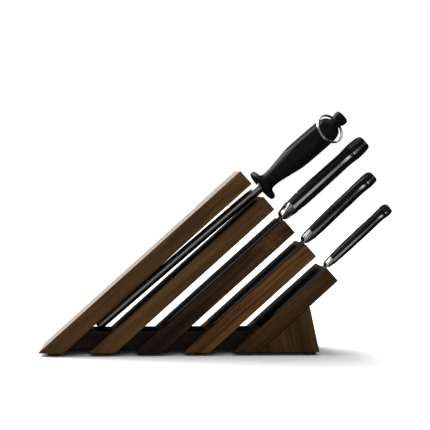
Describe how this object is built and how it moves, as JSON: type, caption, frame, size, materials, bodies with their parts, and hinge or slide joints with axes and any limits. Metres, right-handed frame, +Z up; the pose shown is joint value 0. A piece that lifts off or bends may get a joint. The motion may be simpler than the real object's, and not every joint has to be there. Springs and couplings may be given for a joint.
{
  "type": "knife block with knives",
  "caption": "Slanted magnetic block of walnut slats on a rail and wedge, holding forged kitchen knives and a sharpening steel that lift out along their slots.",
  "frame": {"origin": "middle of the overall box, on the plane the feet stand on", "axes": "+X along the row of slats towards the wedge and handles, +Y to the back, +Z up"},
  "size_m": [0.415, 0.06, 0.288],
  "materials": {
    "walnut_1": "oiled, fine open pores, brightest slat face",
    "walnut_2": "oiled",
    "walnut_3": "oiled, figured",
    "walnut_4": "oiled, lighter and streaked",
    "walnut_5": "oiled",
    "walnut_rail": "dark oiled",
    "walnut_wedge": "oiled, one golden streak",
    "cover_black": "satin black",
    "strip_black": "satin black",
    "magnet": "plain ferrite bar",
    "rubber": "matte",
    "screw_steel": "zinc plated",
    "blade_steel": "finely polished",
    "handle_black": "satin black",
    "rivet_steel": "polished flush",
    "rod_steel": "finely ribbed along the rod",
    "grip_black": "satin black",
    "ring_steel": "bright round wire"
  },
  "bodies": {
    "block": {"slat_1": "walnut_1", "slat_2": "walnut_2", "slat_3": "walnut_3", "slat_4": "walnut_4", "slat_5": "walnut_5", "base_rail": "walnut_rail", "support_wedge": "walnut_wedge", "rail_cover_1": "cover_black", "rail_cover_2": "cover_black", "rail_cover_3": "cover_black", "rail_cover_4": "cover_black", "strip_2": "strip_black", "magnet_2_front": "magnet", "magnet_2_back": "magnet", "strip_3": "strip_black", "magnet_3_front": "magnet", "magnet_3_back": "magnet", "strip_4": "strip_black", "magnet_4_front": "magnet", "magnet_4_back": "magnet", "strip_5": "strip_black", "magnet_5_front": "magnet", "magnet_5_back": "magnet", "rail_screw_1": "screw_steel", "rail_screw_2": "screw_steel", "rail_screw_3": "screw_steel", "rail_screw_4": "screw_steel", "rail_screw_5": "screw_steel", "rail_screw_6": "screw_steel", "foot_1": "rubber", "foot_screw_1": "screw_steel", "foot_2": "rubber", "foot_screw_2": "screw_steel", "foot_3": "rubber", "foot_screw_3": "screw_steel", "foot_4": "rubber", "foot_screw_4": "screw_steel"},
    "carving_knife": {"carving_knife_blade": "blade_steel", "carving_knife_scale_outer": "handle_black", "carving_knife_scale_inner": "handle_black", "carving_knife_rivet_1": "rivet_steel", "carving_knife_rivet_2": "rivet_steel", "carving_knife_rivet_3": "rivet_steel"},
    "utility_knife": {"utility_knife_blade": "blade_steel", "utility_knife_scale_outer": "handle_black", "utility_knife_scale_inner": "handle_black", "utility_knife_rivet_1": "rivet_steel", "utility_knife_rivet_2": "rivet_steel", "utility_knife_rivet_3": "rivet_steel"},
    "paring_knife": {"paring_knife_blade": "blade_steel", "paring_knife_scale_outer": "handle_black", "paring_knife_scale_inner": "handle_black", "paring_knife_rivet_1": "rivet_steel", "paring_knife_rivet_2": "rivet_steel", "paring_knife_rivet_3": "rivet_steel"},
    "sharpening_steel": {"steel_rod": "rod_steel", "steel_handle": "grip_black"},
    "hanging_ring": {"hanging_ring": "ring_steel"}
  },
  "joints": [
    {"name": "carving_knife_slide", "type": "slide", "parent": "block", "child": "carving_knife", "axis": [0.742, 0, 0.6704], "range_m": [0, 0.2]},
    {"name": "utility_knife_slide", "type": "slide", "parent": "block", "child": "utility_knife", "axis": [0.742, 0, 0.6704], "range_m": [0, 0.16]},
    {"name": "paring_knife_slide", "type": "slide", "parent": "block", "child": "paring_knife", "axis": [0.742, 0, 0.6704], "range_m": [0, 0.1]},
    {"name": "sharpening_steel_slide", "type": "slide", "parent": "block", "child": "sharpening_steel", "axis": [0.7564, 0, 0.6541], "range_m": [0, 0.26]},
    {"name": "hanging_ring_hinge", "type": "hinge", "parent": "sharpening_steel", "child": "hanging_ring", "pos_m": [0.1456, 0, 0.27554], "axis": [-0.6541, 0, 0.7564], "range_deg": [0, 265]}
  ]
}
